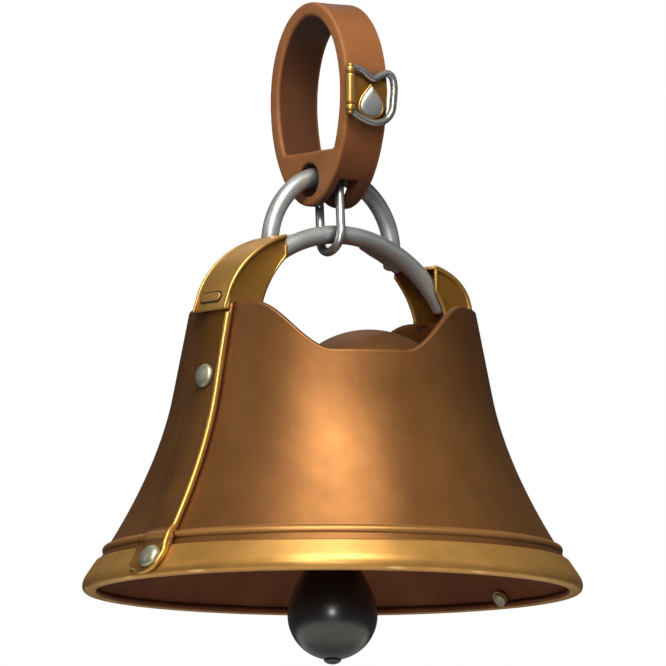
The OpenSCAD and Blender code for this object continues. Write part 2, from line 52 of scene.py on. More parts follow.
# ---------------------------------------------------------------- shader helpers
class Shader:
    """A principled material, with short calls for the nodes that feed it."""

    def __init__(self, material):
        self.material = material
        self.tree = material.node_tree
        self.bsdf = next(n for n in self.tree.nodes if n.type == "BSDF_PRINCIPLED")
        self.coords = self.node("TexCoord", {}).outputs

    def put(self, socket, value):
        """Link a socket, or set a value; a colour given as RGB gets alpha 1."""
        if isinstance(value, bpy.types.NodeSocket):
            self.tree.links.new(value, socket)
        elif isinstance(value, tuple):
            socket.default_value = value + (1,) * (len(socket.default_value) - 3)
        else:
            socket.default_value = value

    def node(self, kind, inputs, **settings):
        node = self.tree.nodes.new("ShaderNode" + kind)
        for key, value in settings.items():
            setattr(node, key, value)
        for key, value in inputs.items():
            self.put(node.inputs[key], value)
        return node

    def surface(self, inputs):
        for key, value in inputs.items():
            self.put(self.bsdf.inputs[key], value)

    def noise(self, scale, detail=6, rough=0.55, warp=0.0, vector=None):
        return self.node("TexNoise", {
            "Scale": scale, "Detail": detail, "Roughness": rough, "Distortion": warp,
            "Vector": vector or self.coords["Object"]}).outputs["Fac"]

    def voronoi(self, scale, feature="F1"):
        inputs = {"Scale": scale, "Vector": self.coords["Object"]}
        return self.node("TexVoronoi", inputs, feature=feature).outputs["Distance"]

    def streaks(self, scale, turn, detail, rough):
        """Noise stretched by a different scale along each axis."""
        vector = self.node("Mapping", {
            "Scale": scale, "Rotation": turn, "Vector": self.coords["Object"]}).outputs["Vector"]
        return self.noise(1.0, detail, rough, vector=vector)

    def ramp(self, factor, *stops):
        node = self.node("ValToRGB", {0: factor})
        elements = node.color_ramp.elements
        elements.remove(elements[-1])
        elements[0].position = stops[0][0]
        elements[0].color = (*stops[0][1], 1)
        for position, colour in stops[1:]:
            elements.new(position).color = (*colour, 1)
        return node.outputs[0]

    def mix(self, factor, a, b):
        node = self.node("Mix", {}, data_type="RGBA", clamp_result=True)
        for index, value in ((0, factor), (6, a), (7, b)):
            self.put(node.inputs[index], value)
        return node.outputs[2]

    def tint(self, base, mask, toward, amount):
        return self.mix(self.times(mask, amount), base, toward)

    def math(self, operation, a, b=0.0):
        return self.node("Math", {0: a, 1: b, 2: 0.0}, operation=operation).outputs[0]

    def times(self, a, b):
        return self.math("MULTIPLY", a, b)

    def ease(self, value, over, to=(0.0, 1.0)):
        """Smooth step from the range over to the range to."""
        inputs = {0: value, 1: over[0], 2: over[1], 3: to[0], 4: to[1]}
        return self.node("MapRange", inputs, interpolation_type="SMOOTHSTEP").outputs[0]

    def roughness(self, scale, to):
        return self.ease(self.noise(scale, detail=5, rough=0.6), over=(0.3, 0.7), to=to)

    def xyz(self):
        return self.node("SeparateXYZ", {0: self.coords["Object"]}).outputs

    def edges(self, over):
        """Mask of convex edges."""
        return self.ease(self.node("NewGeometry", {}).outputs["Pointiness"], over)

    def crevices(self, distance, over):
        """Mask of places where light is shut out."""
        node = self.node("AmbientOcclusion", {"Distance": distance}, samples=6)
        return self.ease(node.outputs["AO"], over, to=(1.0, 0.0))

    def bump(self, height, strength, distance, under=None):
        inputs = {"Strength": strength, "Distance": distance, "Height": height}
        if under is not None:
            inputs["Normal"] = under
        return self.node("Bump", inputs).outputs[0]


def new_shader(name):
    material = bpy.data.materials.new(name)
    material.use_nodes = True
    tree = material.node_tree
    tree.nodes.clear()
    output = tree.nodes.new("ShaderNodeOutputMaterial")
    bsdf = tree.nodes.new("ShaderNodeBsdfPrincipled")
    tree.links.new(bsdf.outputs[0], output.inputs[0])
    return Shader(material)


# ---------------------------------------------------------------- materials
def metal(name, dark, mid, light, rough, metallic, scale, edge=None, crevice_shade=None,
          scratch=0.3, bump=0.15, specular=0.5, coat=0.0):
    """Mottled, scratched metal; scale sets the grain; edge and the crevice colour are optional
    colours, the crevice colour being painted shade.
    """
    s = new_shader(name)
    mottle = s.noise(scale * 0.35, detail=5, rough=0.6, warp=0.6)
    fine = s.noise(scale * 5, detail=6, rough=0.6)
    colour = s.ramp(mottle, (0.25, dark), (0.5, mid), (0.78, light))
    colour = s.mix(s.ease(fine, over=(0.35, 0.75), to=(0.0, 0.22)), colour, dark)
    # scratches, in patches
    scratches = s.streaks(scale=(scale * 3, scale * 3, scale * 60), turn=(0.5, 0.9, 0.3),
                          detail=3, rough=0.5)
    scratches = s.ease(scratches, over=(0.62, 0.70))
    patches = s.ease(s.noise(scale * 0.9, detail=3, rough=0.5), over=(0.5, 0.66))
    scratches = s.times(scratches, patches)
    colour = s.tint(colour, scratches, light, amount=scratch)
    if edge is not None:
        wear = s.ease(s.noise(scale * 2.2, detail=4, rough=0.6), over=(0.25, 0.6), to=(0.55, 1.0))
        colour = s.mix(s.times(s.edges(over=(0.505, 0.56)), wear), colour, edge)
    # painted shade: the colour is pulled dark where ambient occlusion finds little light
    if crevice_shade is not None:
        shut = s.crevices(distance=0.005, over=(0.35, 0.95))
        colour = s.tint(colour, shut, crevice_shade, amount=0.75)
    height = s.math("ADD", s.times(fine, 0.5), s.times(scratches, -0.6))
    s.surface({
        "Base Color": colour, "Metallic": metallic, "Specular IOR Level": specular,
        "Roughness": s.roughness(scale * 1.3, to=rough),
        "Normal": s.bump(height, strength=bump, distance=0.0003)})
    if coat:
        s.surface({"Coat Weight": coat, "Coat Roughness": 0.25})
    return s.material


def copper_base(name, dark, mid, light):
    s = new_shader(name)
    colour = s.ramp(s.noise(16, detail=5, rough=0.55, warp=0.8),
                    (0.2, dark), (0.5, mid), (0.85, light))
    mottle = s.noise(70, detail=6, rough=0.6)
    return s, s.mix(s.ease(mottle, over=(0.4, 0.75), to=(0.0, 0.35)), colour, dark)


def copper_surface(s, colour, metallic, rough, specular):
    height = s.math("ADD", s.times(s.noise(260, detail=5, rough=0.6), 0.6),
                    s.times(s.noise(40, detail=3, rough=0.5), 0.9))
    s.surface({
        "Base Color": colour, "Metallic": metallic, "Specular IOR Level": specular,
        "Roughness": s.roughness(24, to=rough),
        "Normal": s.bump(height, strength=0.10, distance=0.0005)})
    return s.material


def copper_outside(name):
    s, colour = copper_base(name, dark=(0.19, 0.078, 0.024), mid=(0.285, 0.124, 0.038),
                            light=(0.355, 0.168, 0.054))
    z = s.xyz()[2]
    # pale hairline scratches in three directions, then small dark pits
    for i, turn in enumerate(((0.2, 0.5, 0.9), (1.1, 0.3, 2.0), (0.6, 1.3, 0.1))):
        lines = s.streaks(scale=(900, 900, 26), turn=turn, detail=2, rough=0.5)
        lines = s.ease(lines, over=(0.66, 0.76))
        patches = s.ease(s.noise(38 + 11 * i, detail=3, rough=0.6), over=(0.54, 0.66))
        colour = s.tint(colour, s.times(lines, patches), (0.50, 0.26, 0.11), amount=0.14)
    pits = s.ease(s.voronoi(420), over=(0.0, 0.10), to=(1.0, 0.0))
    pits = s.times(pits, s.ease(s.noise(60, detail=3, rough=0.6), over=(0.55, 0.7)))
    colour = s.tint(colour, pits, (0.08, 0.03, 0.012), amount=0.5)
    # painted shade: darker towards the neck
    colour = s.mix(s.ease(z, over=(0.055, 0.098), to=(0.0, 0.30)), colour, (0.12, 0.043, 0.014))
    # painted highlight along the ridge above the rim band, and on the collar's edge
    ridge = s.math("ABSOLUTE", s.math("SUBTRACT", z, 0.0158))
    ridge = s.ease(ridge, over=(0.0010, 0.0019), to=(1.0, 0.0))
    colour = s.tint(colour, ridge, (0.62, 0.31, 0.10), amount=0.75)
    collar = s.times(s.edges(over=(0.512, 0.565)), s.ease(z, over=(0.070, 0.080)))
    colour = s.tint(colour, collar, (0.62, 0.30, 0.13), amount=0.9)
    # painted shade: darker in crevices, where ambient occlusion finds little light
    shut = s.crevices(distance=0.006, over=(0.4, 0.97))
    colour = s.tint(colour, shut, (0.06, 0.022, 0.010), amount=0.8)
    return copper_surface(s, colour, metallic=0.75, rough=(0.43, 0.53), specular=0.35)


def copper_inside(name):
    s, colour = copper_base(name, dark=(0.090, 0.027, 0.011), mid=(0.190, 0.062, 0.026),
                            light=(0.27, 0.094, 0.040))
    return copper_surface(s, colour, metallic=0.15, rough=(0.6, 0.75), specular=0.2)


def strap_face(name):
    """Copper that turns brassy near the top of the strap and on the rim band."""
    s = Shader(copper_outside(name))
    colour = s.bsdf.inputs["Base Color"].links[0].from_socket
    z = s.xyz()[2]
    top = s.ease(z, over=(0.070, 0.101))
    colour = s.tint(colour, top, (0.235, 0.098, 0.014), amount=0.75)
    foot = s.ease(z, over=(0.0135, 0.0105))
    colour = s.tint(colour, foot, (0.45, 0.22, 0.048), amount=0.9)
    s.surface({"Base Color": colour})
    return s.material


def waxed_leather(name):
    s = new_shader(name)
    x, y, z = s.xyz()
    colour = s.ramp(s.noise(30, detail=5, rough=0.6, warp=0.5), (0.25, (0.145, 0.042, 0.011)),
                    (0.5, (0.205, 0.064, 0.017)), (0.8, (0.270, 0.094, 0.027)))
    # painted light and shade: paler towards the top of the loop, darker low down
    colour = s.mix(s.ease(z, over=(0.140, 0.207)),
                   s.mix(0.50, colour, (0.085, 0.024, 0.007)),
                   s.mix(0.36, colour, (0.46, 0.19, 0.062)))
    # painted shade: faces that look at the loop's middle are darker, most of all under the top
    centre = (0, ARCH_Y * MM, LOOP_Z * MM)
    away = s.node("VectorMath", {0: s.coords["Object"], 1: centre}, operation="SUBTRACT")
    facing = s.node("VectorMath", {0: away.outputs[0], 1: s.coords["Normal"]},
                    operation="DOT_PRODUCT").outputs["Value"]
    inside = s.ease(facing, over=(-0.016, -0.004), to=(1.0, 0.0))
    inside = s.times(inside, s.ease(z, over=(0.165, 0.205), to=(0.25, 0.85)))
    colour = s.mix(inside, colour, (0.030, 0.008, 0.003))
    # painted shade: the +Y limb is darker
    colour = s.mix(s.ease(y, over=(-0.019, 0.002), to=(0.0, 0.55)), colour, (0.055, 0.015, 0.004))
    # burnished along both edges, with a painted highlight
    edge = s.ease(s.math("ABSOLUTE", x), over=(0.0074, 0.0086))
    edge = s.times(edge, s.ease(s.noise(90, detail=4, rough=0.6), over=(0.2, 0.6), to=(0.5, 0.85)))
    colour = s.mix(edge, colour, (0.33, 0.125, 0.040))
    pores = s.ease(s.voronoi(1500), over=(0.0, 0.22), to=(1.0, 0.0))
    colour = s.tint(colour, pores, (0.07, 0.022, 0.009), amount=0.25)
    creases = s.streaks(scale=(60, 900, 140), turn=(0.1, 0.2, 0.1), detail=4, rough=0.55)
    creases = s.ease(creases, over=(0.60, 0.72))
    colour = s.tint(colour, creases, (0.10, 0.03, 0.012), amount=0.12)
    # painted shade: darker in crevices, where ambient occlusion finds little light
    shut = s.crevices(distance=0.006, over=(0.3, 0.95))
    colour = s.tint(colour, shut, (0.035, 0.011, 0.005), amount=0.7)
    grain = s.math("ADD", s.times(s.voronoi(1100, "SMOOTH_F1"), 0.7),
                   s.times(s.noise(700, detail=6, rough=0.65), 0.7))
    grain = s.math("ADD", grain, s.times(creases, -0.4))
    grain = s.bump(grain, strength=0.20, distance=0.00025)
    waves = s.noise(60, detail=4, rough=0.5)
    s.surface({
        "Base Color": colour, "Specular IOR Level": 0.38, "Sheen Weight": 0.06,
        "Roughness": s.roughness(140, to=(0.46, 0.62)),
        "Normal": s.bump(waves, strength=0.18, distance=0.0008, under=grain)})
    return s.material


# painted shade: near-black for the ring round each key, standing for a shaded recess
def key_gap_shade(name):
    s = new_shader(name)
    colour = s.ramp(s.noise(300, detail=4), (0.3, (0.012, 0.004, 0.002)),
                    (0.7, (0.03, 0.010, 0.004)))
    s.surface({"Base Color": colour, "Roughness": 0.7})
    return s.material


COPPER = copper_outside("copper_brown")
COPPER_IN = copper_inside("copper_inside")
# each crevice colour given below is painted shade, laid where ambient occlusion finds crevices
BRASS = metal("brass_aged", dark=(0.48, 0.225, 0.042), mid=(0.68, 0.36, 0.080),
              light=(0.82, 0.47, 0.13), rough=(0.34, 0.46), metallic=0.72, scale=45,
              edge=(0.82, 0.50, 0.16), crevice_shade=(0.20, 0.08, 0.018))
BAND = metal("brass_band", dark=(0.46, 0.22, 0.050), mid=(0.62, 0.33, 0.085),
             light=(0.72, 0.42, 0.13), rough=(0.34, 0.46), metallic=0.62, scale=40,
             edge=(0.86, 0.56, 0.22), crevice_shade=(0.20, 0.08, 0.02))
# painted shade: a darker copy of the brass for the arms' dished cheeks; the clasp's backing plate
# uses it too
WEB = metal("brass_dark_web", dark=(0.20, 0.088, 0.013), mid=(0.31, 0.145, 0.022),
            light=(0.41, 0.21, 0.040), rough=(0.38, 0.52), metallic=0.62, scale=45,
            edge=(0.46, 0.25, 0.06), crevice_shade=(0.10, 0.04, 0.008))
GOLD = metal("brass_bead", dark=(0.52, 0.28, 0.055), mid=(0.68, 0.40, 0.10),
             light=(0.80, 0.50, 0.16), rough=(0.34, 0.42), metallic=0.85, scale=50,
             bump=0.03, scratch=0.1)
NICKEL = metal("nickel_rivet", dark=(0.30, 0.29, 0.20), mid=(0.44, 0.43, 0.32),
               light=(0.60, 0.60, 0.48), rough=(0.36, 0.46), metallic=0.75, scale=90,
               crevice_shade=(0.08, 0.07, 0.04), bump=0.06)
STEEL = metal("steel_grey", dark=(0.38, 0.41, 0.43), mid=(0.52, 0.55, 0.575),
              light=(0.65, 0.68, 0.70), rough=(0.36, 0.48), metallic=0.72, scale=100,
              edge=(0.62, 0.64, 0.66), crevice_shade=(0.05, 0.05, 0.05), bump=0.08)
BRIGHT = metal("steel_bright", dark=(0.40, 0.41, 0.42), mid=(0.53, 0.54, 0.55),
               light=(0.70, 0.71, 0.72), rough=(0.28, 0.38), metallic=0.9, scale=110,
               crevice_shade=(0.06, 0.06, 0.06), bump=0.04)
BLACK = metal("black_ball", dark=(0.005, 0.005, 0.006), mid=(0.009, 0.009, 0.010),
              light=(0.016, 0.016, 0.018), rough=(0.30, 0.36), metallic=0.0, scale=120,
              crevice_shade=(0.002, 0.002, 0.002), bump=0.03, scratch=0.05, specular=0.6, coat=1.0)
LEATHER = waxed_leather("leather_waxed")
STRAP_FACE = strap_face("strap_face")


# ---------------------------------------------------------------- mesh helpers
def shade_smooth(mesh):
    mesh.polygons.foreach_set("use_smooth", [True] * len(mesh.polygons))


def new_object(name, verts, faces, materials=(), face_materials=(), weld=False):
    """Object from points in millimetres, its faces turned outward."""
    mesh = bpy.data.meshes.new(name)
    mesh.from_pydata([tuple(c * MM for c in v) for v in verts], [], faces)
    obj = bpy.data.objects.new(name, mesh)
    bpy.context.scene.collection.objects.link(obj)
    for material in materials:
        mesh.materials.append(material)
    for face, index in zip(mesh.polygons, face_materials):
        face.material_index = index
    bm = bmesh.new()
    bm.from_mesh(mesh)
    if weld:
        bmesh.ops.remove_doubles(bm, verts=bm.verts, dist=1e-7)
    bmesh.ops.recalc_face_normals(bm, faces=bm.faces)
    bm.to_mesh(mesh)
    bm.free()
    return obj


def register(obj, piece, body):
    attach(obj, body)
    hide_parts(piece)


def add_skin(piece, parts, materials, body="bell", weld=True):
    """Stand-in for a CAD piece. Each part is ((verts, faces), material index or list)."""
    verts, faces, indices = [], [], []
    for (part_verts, part_faces), index in parts:
        base = len(verts)
        verts += part_verts
        faces += [tuple(i + base for i in face) for face in part_faces]
        indices += index if isinstance(index, list) else [index] * len(part_faces)
    obj = new_object(piece + "_skin", verts, faces, materials, indices, weld)
    shade_smooth(obj.data)
    obj.data.update()
    register(obj, piece, body)


def loft(rings, closed_ring=True, closed_path=False):
    """Join equal-length rings with quads; an open path gets a cap at each end."""
    n = len(rings[0])
    rows = len(rings)
    verts = [p for ring in rings for p in ring]
    faces = []
    for i in range(rows if closed_path else rows - 1):
        a, b = i * n, ((i + 1) % rows) * n
        for j in range(n if closed_ring else n - 1):
            k = (j + 1) % n
            faces.append((a + j, a + k, b + k, b + j))
    if not closed_path:
        for base, flip in ((0, True), ((rows - 1) * n, False)):
            verts.append(tuple(sum((Vector(verts[base + j]) for j in range(n)), Vector()) / n))
            centre = len(verts) - 1
            for j in range(n):
                a, b = base + j, base + (j + 1) % n
                faces.append((b, a, centre) if flip else (a, b, centre))
    return verts, faces


def tube(path, radius, sides=28, closed=False):
    """Round tube along a path, with domed ends; radius may be a function of 0..1."""
    points = [Vector(p) for p in path]
    count = len(points)
    radius_at = radius if callable(radius) else (lambda s: radius)
    tangents = []
    for i in range(count):
        a = points[(i - 1) % count] if closed else points[max(0, i - 1)]
        b = points[(i + 1) % count] if closed else points[min(count - 1, i + 1)]
        tangents.append((b - a).normalized())
    first = tangents[0]
    up = Vector((0, 0, 1)) if abs(first.z) < 0.9 else Vector((1, 0, 0))
    normal = (up - first * up.dot(first)).normalized()
    frames = []
    for i, tangent in enumerate(tangents):
        if i:
            normal = (normal - tangent * normal.dot(tangent)).normalized()
        frames.append((normal.copy(), tangent.cross(normal)))
    if closed:   # spread the leftover twist
        start = frames[0][0]
        last = (frames[-1][0] - first * frames[-1][0].dot(first)).normalized()
        twist = atan2(last.cross(start).dot(first), last.dot(start))
        for i, (u, v) in enumerate(frames):
            a = twist * i / count
            frames[i] = (u * cos(a) + v * sin(a), v * cos(a) - u * sin(a))

    def ring(centre, axes, r):
        u, v = axes
        return [tuple(centre + (u * cos(2 * pi * j / sides) + v * sin(2 * pi * j / sides)) * r)
                for j in range(sides)]

    def dome(index, outward, r, angles):
        return [ring(points[index] + outward * r * 0.5 * sin(radians(a)),
                     frames[index], r * cos(radians(a))) for a in angles]

    rings = [ring(points[i], frames[i], radius_at(i / (count - 1))) for i in range(count)]
    if not closed:
        rings = (dome(0, -first, radius_at(0), (80, 60, 40, 20)) + rings
                 + dome(-1, tangents[-1], radius_at(1), (20, 40, 60, 80)))
    return loft(rings, closed_path=closed)


def spline(points, per, closed=False):
    """Catmull-Rom curve with per steps between points."""
    out = []
    n = len(points)
    for i in range(n if closed else n - 1):
        a, b, c, d = (Vector(points[(i + k) % n if closed else min(n - 1, max(0, i + k))])
                      for k in (-1, 0, 1, 2))
        for j in range(per):
            t = j / per
            out.append(0.5 * (2 * b + (c - a) * t + (2 * a - 5 * b + 4 * c - d) * t * t
                              + (3 * b - a - 3 * c + d) * t ** 3))
    if not closed:
        out.append(Vector(points[-1]))
    return out


def lathe(profile, sides, centre=(0, 0, 0), axis=None, closed=False):
    """Spin (radius, height) pairs about Z, or about the Z of the axis matrix."""
    rings = []
    for i in range(sides):
        a = 2 * pi * i / sides
        ring = []
        for r, z in profile:
            v = Vector((r * cos(a), r * sin(a), z))
            if axis is not None:
                v = axis @ v
            ring.append(tuple(v + Vector(centre)))
        rings.append(ring)
    return loft(rings, closed, True)


def arc(centre, radius, start, end, steps):
    """Arc in an XZ plane, in degrees from +X towards +Z."""
    angles = [radians(start + (end - start) * i / steps) for i in range(steps + 1)]
    x, y, z = centre
    return [(x + radius * cos(a), y, z + radius * sin(a)) for a in angles]


def smoothstep(v):
    v = max(0.0, min(1.0, v))
    return v * v * (3 - 2 * v)


# ---------------------------------------------------------------- outlines against height
TOP_Z, TOP_RADIUS, WALL_SLOPE = 103.5, 51.4, 0.197
FLARE_Z, FLARE, FLARE_POWER = 70, 20.6, 1.82    # widens below FLARE_Z
TUCK_Z, TUCK = 14, 1.6                          # draws in below TUCK_Z
RIDGE_Z, RIDGE_RADIUS = 15.2, 1.7               # rolled ridge above the rim band
STRAP_THICK = 1.5
STRAP_MAX = 91.8                                # largest radius of a strap's face


def bell_r(z):
    return (TOP_RADIUS + WALL_SLOPE * (TOP_Z - z)
            + FLARE * max(0.0, (FLARE_Z - z) / FLARE_Z) ** FLARE_POWER
            - TUCK * max(0.0, (TUCK_Z - z) / TUCK_Z) ** 2)


RIDGE_CENTRE = bell_r(RIDGE_Z) - 0.5


def shell_out(z):
    r = bell_r(z)
    d = abs(z - RIDGE_Z)
    if d < RIDGE_RADIUS:
        r = max(r, RIDGE_CENTRE + sqrt(RIDGE_RADIUS ** 2 - d * d))
    return r


def band_out(z):
    return bell_r(z) + 1.15 + 0.75 * smoothstep((10 - z) / 5)


def strap_out(z):
    """Face of a strap: it steps out over the ridge, then follows the rim band."""
    if z > 19:
        return bell_r(z) + STRAP_THICK
    if z > 12.5:
        return bell_r(z) + STRAP_THICK + 1.7 * smoothstep((19 - z) / 3)
    return min(STRAP_MAX, band_out(max(z, 3.2)) + 1.3 + 0.9 * smoothstep((z - 9.5) / 3))


# ---------------------------------------------------------------- bell shell
SECTIONS = 288                      # round the bell
WALL = 3.0
LIP = 1.45                          # height of the rounded top edge
COLLAR_RADIUS = 50.2
COLLAR_LOW, COLLAR_HIGH = 83.3, 102
COLLAR_RISE = 27                    # width over which the collar climbs
DIP = radians(-114)                 # direction of one collar dip; the other is opposite
SHARED_ROWS = [20.6, 22.4, 24.6, 27.2, 30, 33.2, 36.6, 40.2, 44, 48, 52, 56, 60, 64, 68]
OUTER_ROWS = ([2.6 + 0.75 * i for i in range(14)]
              + [12.6 + 0.25 * i for i in range(21)]    # fine over the ridge
              + [18.2, 19.2] + SHARED_ROWS)
INNER_ROWS = SHARED_ROWS[::-1] + [18.5, 16, 13.5, 11, 9, 7, 5, 3.6, 2.6]


def collar_line(across, flat):
    """Collar height at a distance across a dip, flat out to 10 or to the given width."""
    flat = 10 if across < 0 else flat
    rise = smoothstep((abs(across) - flat) / COLLAR_RISE)
    return COLLAR_LOW + (COLLAR_HIGH - COLLAR_LOW) * rise


def shell_section(angle):
    """(radius, z, material index) up the outside, over the edge and down the inside"""
    turn = angle - DIP
    blend = smoothstep(0.5 + cos(turn) * 4)
    across = COLLAR_RADIUS * sin(turn)
    top = collar_line(across, 14) * blend + collar_line(across, 9) * (1 - blend) - LIP
    joint = SHARED_ROWS[-1]
    collar = [joint + (top - joint) * j / 10 for j in range(1, 11)]
    middle = bell_r(top) - WALL / 2
    section = [(shell_out(z), z, 0) for z in OUTER_ROWS]
    section += [(bell_r(z), z, 0) for z in collar]
    section += [(middle + WALL / 2 * cos(radians(a)), top + LIP * sin(radians(a)), 0)
                for a in range(15, 180, 15)]
    section += [(bell_r(z) - WALL, z, 0 if z > 81.5 else 1) for z in collar[::-1]]
    return section + [(bell_r(z) - WALL, z, 1) for z in INNER_ROWS]


rings = []
for i in range(SECTIONS):
    angle = 2 * pi * i / SECTIONS
    rings.append([(r * cos(angle), r * sin(angle), z) for r, z, _ in shell_section(angle)])
inside = [index for _, _, index in shell_section(0)] * SECTIONS
add_skin("bell_shell", [(loft(rings, closed_path=True), inside)], [COPPER, COPPER_IN])

# ---------------------------------------------------------------- rim band with its rolled lip
# (radius, z) round the closed section
band_points = [
    (84.32, 11.6), (84.9, 11.62), (85.5, 11.3), (85.95, 10.7), (86.7, 9.6), (87.6, 8.3),
    (88.55, 6.9), (89.45, 5.5), (90.1, 4.2), (90.4, 3.0), (90.38, 1.9), (90.05, 0.95),
    (89.3, 0.28), (88.3, 0.02), (87.0, 0.03), (85.9, 0.3), (85.15, 0.95), (85.1, 1.7),
    (85.6, 2.3), (86.3, 2.52), (88.0, 2.52), (bell_r(3.2) + 0.05, 2.58)]
band_points += [(bell_r(z) + 0.05, z) for z in (5, 7, 9.5)]
band = [(p.x, p.y) for p in spline([(r, z, 0) for r, z in band_points], per=4, closed=True)]
inside = [1 if r < 85.75 and z < 3 else 0 for r, z in band] * SECTIONS
add_skin("rim_band", [(lathe(band, SECTIONS, closed=True), inside)], [BAND, COPPER_IN])

# ---------------------------------------------------------------- crown dome with turned-out foot
DOME_Z = 61.5                       # centre of both spherical faces


def dome_arc(radius, foot_z, steps):
    """(radius, z) from the top of the sphere down to foot_z"""
    sweep = 90 - degrees(asin((foot_z - DOME_Z) / radius))
    angles = [radians(90 - i * sweep / steps) for i in range(steps + 1)]
    return [(max(0.0, radius * cos(a)), DOME_Z + radius * sin(a)) for a in angles]


dome = dome_arc(34.0, foot_z=81.8, steps=24)
foot = dome[-1][0]
dome += [(foot + 0.25, 81.5), (foot + 0.1, 81.1), (foot - 1.6, 81.05)]
dome += dome_arc(32.4, foot_z=81.4, steps=20)[::-1]
add_skin("crown_dome", [(lathe(dome, 120, centre=(10.7, -7.7, 0)), 0)], [COPPER])

# ---------------------------------------------------------------- side straps
# y is worked out for the right strap; the left one is turned half round the bell's axis.
FOOT_Z = 7                          # the strap's end is rounded below this
BEAD_INSET = 0.75
BEAD_RADIUS = 1.12


def beaded_y(z):
    angle = 10.2 + 1.1 * smoothstep((22 - z) / 16) + 0.55 * smoothstep((z - 80) / 20)
    return strap_out(z) * sin(radians(angle))


def feathered_y(z):
    return beaded_y(z) - 20 + 2 * smoothstep((16 - z) / 8)


FOOT_MIDDLE = (beaded_y(FOOT_Z) + feathered_y(FOOT_Z)) / 2
FOOT_HALF = (beaded_y(FOOT_Z) - feathered_y(FOOT_Z)) / 2


def strap_edges(z):
    if z >= FOOT_Z:
        return beaded_y(z), feathered_y(z)
    k = sqrt(max(0.0, 1 - ((FOOT_Z - z) / 5.8) ** 2))
    return FOOT_MIDDLE + FOOT_HALF * k, FOOT_MIDDLE - FOOT_HALF * k


def on_strap(r, y, z, sign):
    return (sign * sqrt(max(0.0, r * r - y * y)), sign * y, z)


def strap_ring(z, sign):
    """Closed ring across the strap, full at the beaded edge and thin at the other."""
    y1, y0 = strap_edges(z)
    half = max((y1 - y0) / 2, 0.35)
    middle = (y1 + y0) / 2
    r_out = strap_out(z)
    r_in = max(shell_out(z), band_out(max(z, 2.4)) if z < 11.6 else 0) + 0.05
    r_in = min(r_in, r_out - 0.15)
    outer, inner = [], []
    steps = 24
    for j in range(steps + 1):
        s = -1 + 2 * j / steps
        y = middle + half * s
        feather = 1 - 0.88 * smoothstep((-s - 0.05) / 0.90)
        e = min(1.0, (1 - abs(s)) * half / 0.7)     # rounds the two corners
        corner = 0.55 + 0.45 * sqrt(max(0.0, 1 - (1 - e) ** 2))
        outer.append((r_in + (r_out - r_in) * feather * corner, y))
        inner.append((r_in, y))
    return [on_strap(r, y, z, sign) for r, y in outer + inner[::-1]]


def strap_heights():
    heights = [101.9 - i * 2.2 for i in range(37)]
    z = 20.5
    while z > 1.5:      # finer over the ridge and the foot
        heights.append(z)
        z -= 0.45
    return heights + [1.35]


def strap_bead(sign):
    """Path down the beaded edge and round the foot."""
    path = [on_strap(strap_out(z) + 0.12, strap_edges(z)[0] - BEAD_INSET, z, sign)
            for z in strap_heights() if 2.6 <= z <= 98.9]
    for i in range(1, 17):
        a = radians(-55 - 5.5 * i)
        y, z = FOOT_MIDDLE + (FOOT_HALF - BEAD_INSET) * cos(a), FOOT_Z + 5.0 * sin(a)
        path.append(on_strap(strap_out(z) + 0.10, y, z, sign))
    path = [p for i, p in enumerate(path)
            if i == 0 or (Vector(p) - Vector(path[i - 1])).length > 0.25]
    for _ in range(6):      # even out the joins
        middle = [tuple((Vector(a) + Vector(b) * 2 + Vector(c)) / 4)
                  for a, b, c in zip(path, path[1:], path[2:])]
        path = [path[0]] + middle + [path[-1]]
    return path


def bead_radius(s):
    return BEAD_RADIUS if s < 0.86 else BEAD_RADIUS - 0.85 * (s - 0.86) / 0.14


for side, sign in SIDES:
    plate = loft([strap_ring(z, sign) for z in strap_heights()])
    bead = tube(strap_bead(sign), bead_radius, 18)
    add_skin(f"side_strap_{side}", [(plate, 0), (bead, 1)], [STRAP_FACE, GOLD])

# ---------------------------------------------------------------- strap rivets
# radius, z, tilt of the axis, length of the shank, turn off the X axis (degrees)
RIVETS = ((strap_out(75), 75, 11.1, 4.6, 2.5), (91.0, 7.2, 33.5, 6.2, 8))


def rivet_profile(length):
    head = [(0.0, 2.72)]
    for i in range(1, 15):
        t = i / 14 * pi / 2
        head.append((4.45 * sin(t), 0.35 + 2.37 * cos(t) ** 0.9))
    end = -length
    return head + [
        (4.5, 0.22), (4.42, 0.05), (4.1, 0.0), (2.0, 0.0), (2.0, end - 1.45), (2.7, end - 1.55),
        (2.75, end - 1.9), (2.3, end - 2.25), (0.0, end - 2.3)]


for side, sign in SIDES:
    parts = []
    for radius, z, tilt, length, turn in RIVETS:
        spin = Matrix.Rotation(radians((180 if sign < 0 else 0) + turn), 3, "Z")
        axis = spin @ Matrix.Rotation(radians(90 - tilt), 3, "Y")
        centre = tuple(spin @ Vector((radius, 0, z)))
        parts.append((lathe(rivet_profile(length), 40, centre=centre, axis=axis), 0))
    add_skin(f"strap_rivets_{side}", parts, [NICKEL])

# ---------------------------------------------------------------- bail arms
# Hollow curved horns, open towards the axis. Each outer line is part of a superellipse;
# angles are in degrees. The right arm's -Y half ends early, at x = notch.
Arm = namedtuple("Arm", "width height power foot_angle tip_angle mouth_shift notch")
ARMS = {"left": Arm(37, 30.4, 1.8, 9, 72.6, 0, 0),
        "right": Arm(38, 24, 2.6, 5.4, 71.5, 5.3, 39.3)}
ARM_X, ARM_Z = 18, 99               # centre of the superellipse
ARM_HALF = 9.9                      # half the arm's depth in y
ARM_STEPS = 46
CHEEK_Z = 102.1                     # the cheeks' lower edge, above the first ring


def arm_point(arm, angle, inset=0.0):
    t = radians(angle)
    return (ARM_X + (arm.width - inset) * cos(t) ** (2 / arm.power),
            ARM_Z + (arm.height - inset) * sin(t) ** (2 / arm.power))


def mouth_x(arm, z):
    h = z - 104
    return 37.4 - 0.35 * h - 0.018 * h * h + arm.mouth_shift


